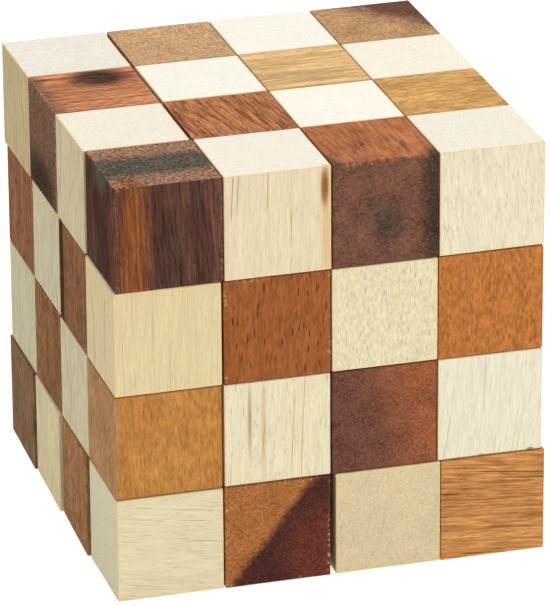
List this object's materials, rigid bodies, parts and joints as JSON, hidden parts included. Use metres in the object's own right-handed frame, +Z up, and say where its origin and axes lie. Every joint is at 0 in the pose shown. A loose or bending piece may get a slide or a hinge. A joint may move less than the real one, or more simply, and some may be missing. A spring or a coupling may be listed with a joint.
{
  "type": "twisty snake puzzle",
  "caption": "Wooden cubes, dark and pale by turns, strung on an elastic cord and folded into a solid block that twists apart layer by layer.",
  "frame": {"origin": "middle of the underside of the folded block", "axes": "+Z up; the front of the block faces -Y; +X to the right when it is seen from the front"},
  "size_m": [0.0598, 0.0598, 0.0598],
  "materials": {
    "dark_wood": "sanded and waxed dark hardwood, satin",
    "pale_wood": "sanded and waxed pale hardwood, satin",
    "elastic_cord": "braided textile cover over a rubber core",
    "plug_wood": "cut end of a glued birch dowel"
  },
  "bodies": {
    "row_01": {"row_01_dark_cubes": "dark_wood", "row_01_pale_cubes": "pale_wood", "row_01_cord": "elastic_cord", "first_end_plug": "plug_wood"},
    "row_02": {"row_02_dark_cubes": "dark_wood", "row_02_pale_cubes": "pale_wood", "row_02_cord": "elastic_cord"},
    "row_03": {"row_03_dark_cubes": "dark_wood", "row_03_pale_cubes": "pale_wood", "row_03_cord": "elastic_cord"},
    "row_04": {"row_04_dark_cubes": "dark_wood", "row_04_pale_cubes": "pale_wood", "row_04_cord": "elastic_cord"},
    "row_05": {"row_05_dark_cubes": "dark_wood", "row_05_pale_cubes": "pale_wood", "row_05_cord": "elastic_cord"},
    "row_06": {"row_06_dark_cubes": "dark_wood", "row_06_pale_cubes": "pale_wood", "row_06_cord": "elastic_cord"},
    "row_07": {"row_07_dark_cubes": "dark_wood", "row_07_pale_cubes": "pale_wood", "row_07_cord": "elastic_cord"},
    "row_08": {"row_08_dark_cubes": "dark_wood", "row_08_pale_cubes": "pale_wood", "row_08_cord": "elastic_cord"},
    "row_09": {"row_09_dark_cubes": "dark_wood", "row_09_pale_cubes": "pale_wood", "row_09_cord": "elastic_cord"},
    "row_10": {"row_10_dark_cubes": "dark_wood", "row_10_pale_cubes": "pale_wood", "row_10_cord": "elastic_cord"},
    "row_11": {"row_11_dark_cubes": "dark_wood", "row_11_pale_cubes": "pale_wood", "row_11_cord": "elastic_cord"},
    "row_12": {"row_12_dark_cubes": "dark_wood", "row_12_pale_cubes": "pale_wood", "row_12_cord": "elastic_cord"},
    "row_13": {"row_13_dark_cubes": "dark_wood", "row_13_pale_cubes": "pale_wood", "row_13_cord": "elastic_cord"},
    "row_14": {"row_14_dark_cubes": "dark_wood", "row_14_pale_cubes": "pale_wood", "row_14_cord": "elastic_cord"},
    "row_15": {"row_15_dark_cubes": "dark_wood", "row_15_pale_cubes": "pale_wood", "row_15_cord": "elastic_cord"},
    "row_16": {"row_16_dark_cubes": "dark_wood", "row_16_pale_cubes": "pale_wood", "row_16_cord": "elastic_cord", "last_end_plug": "plug_wood"},
    "layer_link_1": {"layer_link_cord_1": "elastic_cord"},
    "layer_link_2": {"layer_link_cord_2": "elastic_cord"},
    "layer_link_3": {"layer_link_cord_3": "elastic_cord"}
  },
  "joints": [
    {"name": "row_02_stretch", "type": "slide", "parent": "row_01", "child": "row_02", "axis": [0, 1, 0], "range_m": [0, 0.004], "stiffness_N_per_m": 400, "springref_m": -0.006},
    {"name": "row_03_stretch", "type": "slide", "parent": "row_02", "child": "row_03", "axis": [0, 1, 0], "range_m": [0, 0.004], "stiffness_N_per_m": 400, "springref_m": -0.006},
    {"name": "row_04_stretch", "type": "slide", "parent": "row_03", "child": "row_04", "axis": [0, 1, 0], "range_m": [0, 0.004], "stiffness_N_per_m": 400, "springref_m": -0.006},
    {"name": "layer_2_stretch", "type": "slide", "parent": "row_04", "child": "layer_link_1", "axis": [0, 0, 1], "range_m": [0, 0.004], "stiffness_N_per_m": 400, "springref_m": -0.006},
    {"name": "layer_2_twist", "type": "hinge", "parent": "layer_link_1", "child": "row_05", "pos_m": [0.0225, 0.0225, 0.0149], "axis": [0, 0, 1], "continuous": true},
    {"name": "row_06_stretch", "type": "slide", "parent": "row_05", "child": "row_06", "axis": [-1, 0, 0], "range_m": [0, 0.004], "stiffness_N_per_m": 400, "springref_m": -0.006},
    {"name": "row_07_stretch", "type": "slide", "parent": "row_06", "child": "row_07", "axis": [-1, 0, 0], "range_m": [0, 0.004], "stiffness_N_per_m": 400, "springref_m": -0.006},
    {"name": "row_08_stretch", "type": "slide", "parent": "row_07", "child": "row_08", "axis": [-1, 0, 0], "range_m": [0, 0.004], "stiffness_N_per_m": 400, "springref_m": -0.006},
    {"name": "layer_3_stretch", "type": "slide", "parent": "row_08", "child": "layer_link_2", "axis": [0, 0, 1], "range_m": [0, 0.004], "stiffness_N_per_m": 400, "springref_m": -0.006},
    {"name": "layer_3_twist", "type": "hinge", "parent": "layer_link_2", "child": "row_09", "pos_m": [-0.0225, 0.0225, 0.0299], "axis": [0, 0, 1], "continuous": true},
    {"name": "row_10_stretch", "type": "slide", "parent": "row_09", "child": "row_10", "axis": [1, 0, 0], "range_m": [0, 0.004], "stiffness_N_per_m": 400, "springref_m": -0.006},
    {"name": "row_11_stretch", "type": "slide", "parent": "row_10", "child": "row_11", "axis": [1, 0, 0], "range_m": [0, 0.004], "stiffness_N_per_m": 400, "springref_m": -0.006},
    {"name": "row_12_stretch", "type": "slide", "parent": "row_11", "child": "row_12", "axis": [1, 0, 0], "range_m": [0, 0.004], "stiffness_N_per_m": 400, "springref_m": -0.006},
    {"name": "layer_4_stretch", "type": "slide", "parent": "row_12", "child": "layer_link_3", "axis": [0, 0, 1], "range_m": [0, 0.004], "stiffness_N_per_m": 400, "springref_m": -0.006},
    {"name": "layer_4_twist", "type": "hinge", "parent": "layer_link_3", "child": "row_13", "pos_m": [0.0225, 0.0225, 0.0449], "axis": [0, 0, 1], "continuous": true},
    {"name": "row_14_stretch", "type": "slide", "parent": "row_13", "child": "row_14", "axis": [-1, 0, 0], "range_m": [0, 0.004], "stiffness_N_per_m": 400, "springref_m": -0.006},
    {"name": "row_15_stretch", "type": "slide", "parent": "row_14", "child": "row_15", "axis": [-1, 0, 0], "range_m": [0, 0.004], "stiffness_N_per_m": 400, "springref_m": -0.006},
    {"name": "row_16_stretch", "type": "slide", "parent": "row_15", "child": "row_16", "axis": [-1, 0, 0], "range_m": [0, 0.004], "stiffness_N_per_m": 400, "springref_m": -0.006}
  ]
}
